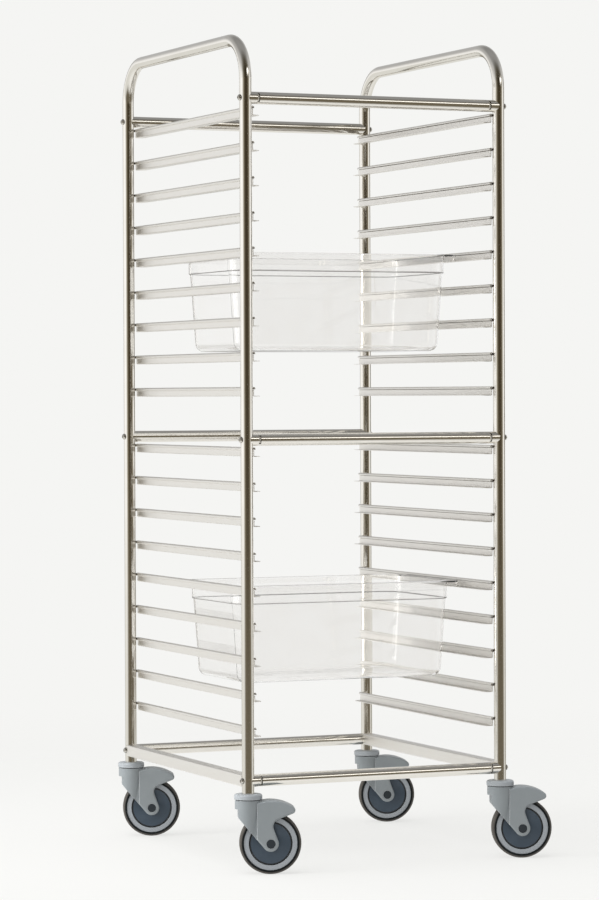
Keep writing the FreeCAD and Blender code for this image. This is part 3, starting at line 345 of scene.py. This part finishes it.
def finish_nodes():
    """Gives every CAD node the material of its slot: discs and tyres one about their own axle, collars a
    paler copy of the forks' plastic, painted lighter for the light their tops catch from above, and
    containers a second, grey one on their step, painted as a line of shade."""
    finishes = {
        "stainless_tube": satin_stainless("satin_stainless_tube", "#F3F0EA", "#E8E4DC", 0.1, 0.17),
        "stainless_sheet": rolled_stainless(),
        "bolt_steel": satin_stainless("bright_stainless_bolt", "#D8D5CF", "#C6C2BA", 0.18, 0.28),
        "bearing_steel": satin_stainless("ground_bearing_steel", "#BDBBB8", "#A9A7A4", 0.22, 0.3),
        "nut_steel": zinc_plated_steel(),
        "castor_plastic": moulded("grey_polyamide", "#8F9598", "#878D90", 0.42, rounding=1.5,
                                  edge_wear_and_highlight=RUBBED_EDGE_AND_HIGHLIGHT),
        "washer_plastic": moulded("black_acetal", "#2B2B2D", "#242426", 0.45),
        "cap_plastic": moulded("dark_cap_polyamide", "#363B3F", "#2E3337", 0.55, rounding=0.6, gloss=0.15),
        "rim_plastic": moulded("light_rim_polyamide", "#A1A6AB", "#999EA3", 0.4, rounding=0.8),
        "clear_polycarbonate": clear_polycarbonate(),
    }
    # Painted light: the collars are the forks' plastic, given a paler copy of it for the light their tops
    # catch from above.
    collar_painted_lighter = moulded("collar_polyamide_painted_lit", "#A5AAAE", "#9DA2A6", 0.42, rounding=1.5,
                             edge_wear_and_highlight=RUBBED_EDGE_AND_HIGHLIGHT)
    step_painted_shade = paint_step_shade_line()
    for part in subparts:
        name, slot = part["node"], part["material_slot"]
        mesh = nodes[name].data
        mesh.materials.clear()
        if slot == "disc_plastic":
            mesh.materials.append(turned_disc(name.removesuffix("_wheel_discs")))
        elif slot == "tyre_rubber":
            mesh.materials.append(rolling_rubber(name.removesuffix("_tyre")))
        elif name == "castor_collars":
            mesh.materials.append(collar_painted_lighter)
        else:
            mesh.materials.append(finishes[slot])
        # The rounded edge of the step gets the grey line of painted shade.
        if slot == "clear_polycarbonate":
            mesh.materials.append(step_painted_shade)
            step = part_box(name)[1].z - BAND_DEPTH
            for face in mesh.polygons:
                rise = (face.center.z - step) / STEP_ROUND
                on_edge = STEP_SHARE[0] < rise < STEP_SHARE[1] and abs(face.normal.z) > STEP_SLOPE
                face.material_index = int(on_edge)


def weld_bead():
    """One tack weld between a runner's bead and the tube, about the origin: a lens with a raised crown."""
    bpy.ops.mesh.primitive_uv_sphere_add(segments=10, ring_count=6, radius=1)
    bead = bpy.context.object
    bpy.ops.object.mode_set(mode="EDIT")
    bpy.ops.mesh.select_all(action="SELECT")
    bpy.ops.transform.resize(value=WELD_HALF_SIZE)
    bpy.ops.mesh.select_all(action="DESELECT")
    bpy.ops.object.mode_set(mode="OBJECT")
    for face in bead.data.polygons:
        face.select = abs(face.center.y) < WELD_CROWN_REACH
    bpy.ops.object.mode_set(mode="EDIT")
    bpy.ops.transform.resize(value=WELD_CROWN_SWELL)
    bpy.ops.object.mode_set(mode="OBJECT")
    bpy.ops.object.shade_smooth()
    bead.data.materials.append(welded_stainless())
    return bead


def runner_welds(pattern, bay, side):
    """The tack welds of one row of runners, a piece of its own: one at each end of every bead."""
    low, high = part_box(f"{bay}_{side}_runners")
    pitch = (high.z - low.z - RUNNER_HEIGHT) / (RUNNER_LEVELS - 1)
    across = low.x + WELD_FROM_SIDE if side == "left" else high.x - WELD_FROM_SIDE
    row = []
    for level in range(RUNNER_LEVELS):
        for along in (low.y + WELD_FROM_END, high.y - WELD_FROM_END):
            copy = pattern.copy()
            copy.data = pattern.data.copy()
            bpy.context.scene.collection.objects.link(copy)
            copy.location = (across, along, high.z - BEAD_RADIUS - level * pitch)
            row.append(copy)
    bpy.ops.object.select_all(action="DESELECT")
    for copy in row:
        copy.select_set(True)
    bpy.context.view_layer.objects.active = row[0]
    bpy.ops.object.join()
    bpy.ops.object.transform_apply(location=True, rotation=True, scale=True)
    row[0].name = f"{bay}_{side}_welds"
    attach(row[0], "frame")
    bpy.ops.object.select_all(action="DESELECT")


def level_way(bearing):
    """Level direction at a bearing turned from straight in front of the trolley."""
    return Vector((math.sin(bearing), -math.cos(bearing), 0))


def studio_reflections(tree, way):
    """What metal and clear plastic mirror: white walls with a dark end and two dark screens, which draw the
    lines along the tubes, a dim roof, the ground and a bright strip high up in front."""
    facing = add(tree, "ShaderNodeVectorMath", DOT, i0=way, i1=level_way(DARK_END_BEARING)).outputs["Value"]
    height = add(tree, "ShaderNodeSeparateXYZ", Vector=way).outputs["Z"]
    side = add(tree, "ShaderNodeMapRange", SMOOTH, Value=facing, From_Min=0.1, From_Max=0.75).outputs[0]
    end = add(tree, "ShaderNodeMapRange", SMOOTH, Value=facing, From_Min=0.55, From_Max=1.0).outputs[0]
    walls = add(tree, "ShaderNodeMix", COLOURS, Factor=side,
                i6=linear("#FFFFFF"), i7=linear("#8E8674")).outputs[2]
    walls = add(tree, "ShaderNodeMix", COLOURS, Factor=end, i6=walls, i7=linear("#3C3426")).outputs[2]
    rear = add(tree, "ShaderNodeMapRange", SMOOTH, Value=facing, From_Min=0.05, From_Max=-0.7,
               To_Min=1.2, To_Max=1.0).outputs[0]
    walls = add(tree, "ShaderNodeVectorMath", SCALE, i0=walls, Scale=rear).outputs[0]
    near = add(tree, "ShaderNodeMapRange", SMOOTH, Value=facing, From_Min=0.1, From_Max=0.7).outputs[0]
    ground = add(tree, "ShaderNodeMix", COLOURS, Factor=near,
                 i6=linear("#E6E6E2"), i7=linear("#6E6656")).outputs[2]
    for bearing in SCREEN_BEARINGS:
        toward = add(tree, "ShaderNodeVectorMath", DOT, i0=way, i1=level_way(bearing)).outputs["Value"]
        shade = add(tree, "ShaderNodeMapRange", SMOOTH, Value=toward,
                    From_Min=0.94, From_Max=0.99).outputs[0]
        walls = add(tree, "ShaderNodeMix", COLOURS, Factor=shade, i6=walls, i7=linear("#5F584A")).outputs[2]
        ground = add(tree, "ShaderNodeMix", COLOURS, Factor=shade,
                     i6=ground, i7=linear("#8A8478")).outputs[2]
    ceiling = add(tree, "ShaderNodeMapRange", SMOOTH, Value=facing, From_Min=-0.3, From_Max=0.4,
                  To_Min=0.48, To_Max=0.45).outputs[0]
    above = add(tree, "ShaderNodeMapRange", SMOOTH, Value=height, From_Min=0.03, From_Max=0.42,
                To_Min=1.0, To_Max=ceiling).outputs[0]
    studio = add(tree, "ShaderNodeVectorMath", SCALE, i0=walls, Scale=above).outputs[0]
    roof = add(tree, "ShaderNodeMapRange", SMOOTH, Value=height, From_Min=0.45, From_Max=0.85,
               To_Min=1.0, To_Max=0.55).outputs[0]
    studio = add(tree, "ShaderNodeVectorMath", SCALE, i0=studio, Scale=roof).outputs[0]
    below = add(tree, "ShaderNodeMapRange", SMOOTH, Value=height, From_Min=-0.02, From_Max=-0.09).outputs[0]
    studio = add(tree, "ShaderNodeMix", COLOURS, Factor=below, i6=studio, i7=ground).outputs[2]
    toward = add(tree, "ShaderNodeVectorMath", DOT, i0=way, i1=STRIP_WAY).outputs["Value"]
    inside = add(tree, "ShaderNodeMapRange", SMOOTH, Value=toward, From_Min=0.95, From_Max=0.98).outputs[0]
    level = add(tree, "ShaderNodeMath", {"operation": "SUBTRACT"}, i0=height, i1=STRIP_HEIGHT).outputs[0]
    level = add(tree, "ShaderNodeMath", {"operation": "ABSOLUTE"}, i0=level).outputs[0]
    strip = add(tree, "ShaderNodeMapRange", SMOOTH, Value=level, From_Min=0.11, From_Max=0.06).outputs[0]
    strip = add(tree, "ShaderNodeMath", TIMES, i0=strip, i1=inside).outputs[0]
    return add(tree, "ShaderNodeMix", COLOURS, Factor=strip, i6=studio, i7=STRIP_LIGHT).outputs[2]


def wall_glint(tree, way, rays):
    """Share of the low light panel on the left, which only reflections inside a clear wall show: it draws
    the soft upright lights in the containers' corners."""
    toward = add(tree, "ShaderNodeVectorMath", DOT, i0=way, i1=PANEL_WAY).outputs["Value"]
    inside = add(tree, "ShaderNodeMapRange", SMOOTH, Value=toward, From_Min=0.9, From_Max=0.96).outputs[0]
    height = add(tree, "ShaderNodeSeparateXYZ", Vector=way).outputs["Z"]
    height = add(tree, "ShaderNodeMath", {"operation": "ABSOLUTE"}, i0=height).outputs[0]
    low = add(tree, "ShaderNodeMapRange", SMOOTH, Value=height, From_Min=0.16, From_Max=0.1).outputs[0]
    panel = add(tree, "ShaderNodeMath", TIMES, i0=inside, i1=low).outputs[0]
    bounces = add(tree, "ShaderNodeMath", TIMES, i0=rays["Glossy Depth"],
                  i1=rays["Transmission Depth"]).outputs[0]
    within = add(tree, "ShaderNodeMapRange", Value=bounces).outputs[0]
    return add(tree, "ShaderNodeMath", TIMES, i0=panel, i1=within).outputs[0]


def studio_world():
    """Studio that shows itself to metal and clear plastic, an even room, brighter towards the window, to
    matt surfaces, so that their colours stay as written, and a plain pale background to the camera."""
    world = bpy.data.worlds.new("studio")
    bpy.context.scene.world = world
    world.use_nodes = True
    # With the world sampled by light rays, matt surfaces would see what metal mirrors.
    world.cycles.sampling_method = "NONE"
    tree = world.node_tree
    tree.nodes.clear()
    way = add(tree, "ShaderNodeTexCoord").outputs["Generated"]
    rays = add(tree, "ShaderNodeLightPath").outputs
    lit = add(tree, "ShaderNodeVectorMath", DOT, i0=way, i1=WINDOW_WAY).outputs["Value"]
    even = add(tree, "ShaderNodeMapRange", SMOOTH, Value=lit, From_Min=-0.5, From_Max=1.0,
               To_Min=0.28, To_Max=1.1).outputs[0]
    room = add(tree, "ShaderNodeMix", COLOURS, Factor=rays["Is Diffuse Ray"],
               i6=studio_reflections(tree, way), i7=even).outputs[2]
    seen = add(tree, "ShaderNodeMath", LARGER, i0=rays["Is Camera Ray"],
               i1=rays["Is Transmission Ray"]).outputs[0]
    through = add(tree, "ShaderNodeMapRange", Value=rays["Transmission Depth"], To_Max=0.85).outputs[0]
    seen = add(tree, "ShaderNodeMath", LARGER, i0=seen, i1=through).outputs[0]
    colour = add(tree, "ShaderNodeMix", COLOURS, Factor=seen, i6=room, i7=linear(BACKGROUND)).outputs[2]
    glint = wall_glint(tree, way, rays)
    colour = add(tree, "ShaderNodeMix", COLOURS, Factor=glint, i6=colour, i7=PANEL_LIGHT).outputs[2]
    shader = add(tree, "ShaderNodeBackground", Color=colour, Strength=1.0)
    output = tree.nodes.new("ShaderNodeOutputWorld")
    tree.links.new(shader.outputs[0], output.inputs["Surface"])


def softbox(name, place, width, height, power, spread=math.pi):
    """Studio lamp turned to the trolley, its beam as wide as its spread; it lights, but neither the camera
    nor metal nor clear plastic sees it."""
    data = bpy.data.lights.new(name, "AREA")
    data.shape = "RECTANGLE"
    data.size = width
    data.size_y = height
    data.energy = power
    data.spread = spread
    lamp = bpy.data.objects.new(name, data)
    bpy.context.scene.collection.objects.link(lamp)
    lamp.location = place
    lamp.rotation_euler = (TROLLEY_MIDDLE - Vector(place)).to_track_quat("-Z", "Y").to_euler()
    lamp.visible_camera = False
    lamp.visible_glossy = False
    lamp.visible_transmission = False


def studio_floor():
    """Pale floor that keeps the shadow and fades into the background; what metal mirrors at a flat angle
    passes through it to the studio."""
    bpy.ops.mesh.primitive_plane_add(size=FLOOR_SIZE, location=(0, 0, 0))
    floor = bpy.context.object
    floor.name = "studio_floor"
    material, tree, place = new_material("pale_floor")
    distance = add(tree, "ShaderNodeVectorMath", {"operation": "LENGTH"}, i0=place).outputs["Value"]
    fade = add(tree, "ShaderNodeMapRange", SMOOTH, Value=distance,
               From_Min=FLOOR_FADE_BEGINS, From_Max=FLOOR_FADE_ENDS).outputs[0]
    low = add(tree, "ShaderNodeMapRange", SMOOTH, Value=add(tree, "ShaderNodeLayerWeight").outputs["Facing"],
              From_Min=0.6, From_Max=0.85).outputs[0]
    mirrored = add(tree, "ShaderNodeMath", TIMES, i0=low,
                   i1=add(tree, "ShaderNodeLightPath").outputs["Is Glossy Ray"]).outputs[0]
    fade = add(tree, "ShaderNodeMath", LARGER, i0=fade, i1=mirrored).outputs[0]
    matt = add(tree, "ShaderNodeBsdfDiffuse", Color=linear("#E4E4E2"))
    glow = add(tree, "ShaderNodeEmission", Color=linear(BACKGROUND))
    paint = add(tree, "ShaderNodeMixShader", i0=0.75, i1=matt.outputs[0], i2=glow.outputs[0])
    clear = add(tree, "ShaderNodeBsdfTransparent")
    shader = add(tree, "ShaderNodeMixShader", i0=fade, i1=paint.outputs[0], i2=clear.outputs[0])
    finish_material(tree, shader)
    floor.data.materials.append(material)


def photo_camera():
    """Camera where the photograph was taken from, found from the trolley's straight edges."""
    data = bpy.data.cameras.new("camera")
    data.sensor_width = SENSOR
    data.lens = FOCAL_PIXELS * SENSOR / IMAGE_HEIGHT
    camera = bpy.data.objects.new("camera", data)
    bpy.context.scene.collection.objects.link(camera)
    back = level_way(CAMERA_AZIMUTH) * math.cos(CAMERA_TILT) + Vector((0, 0, math.sin(CAMERA_TILT)))
    right = Vector((math.cos(CAMERA_AZIMUTH), math.sin(CAMERA_AZIMUTH), 0))
    level = Matrix((right, back.cross(right), back)).transposed().to_4x4()
    camera.matrix_world = Matrix.Translation(CAMERA_PLACE) @ level @ Matrix.Rotation(-CAMERA_ROLL, 4, "Z")
    bpy.context.scene.camera = camera


finish_nodes()

tack_weld = weld_bead()
for bay in ("upper", "lower"):
    for side in ("left", "right"):
        runner_welds(tack_weld, bay, side)
bpy.data.objects.remove(tack_weld)

studio_world()
studio_floor()
softbox("overhead_softbox", (-0.8, -0.6, 4.2), width=3.5, height=3.5, power=100)
softbox("side_softbox", (-3.4, 0.35, 1.3), width=1.6, height=1.6, power=14, spread=math.radians(60))
photo_camera()
bpy.context.scene.view_settings.view_transform = "Standard"
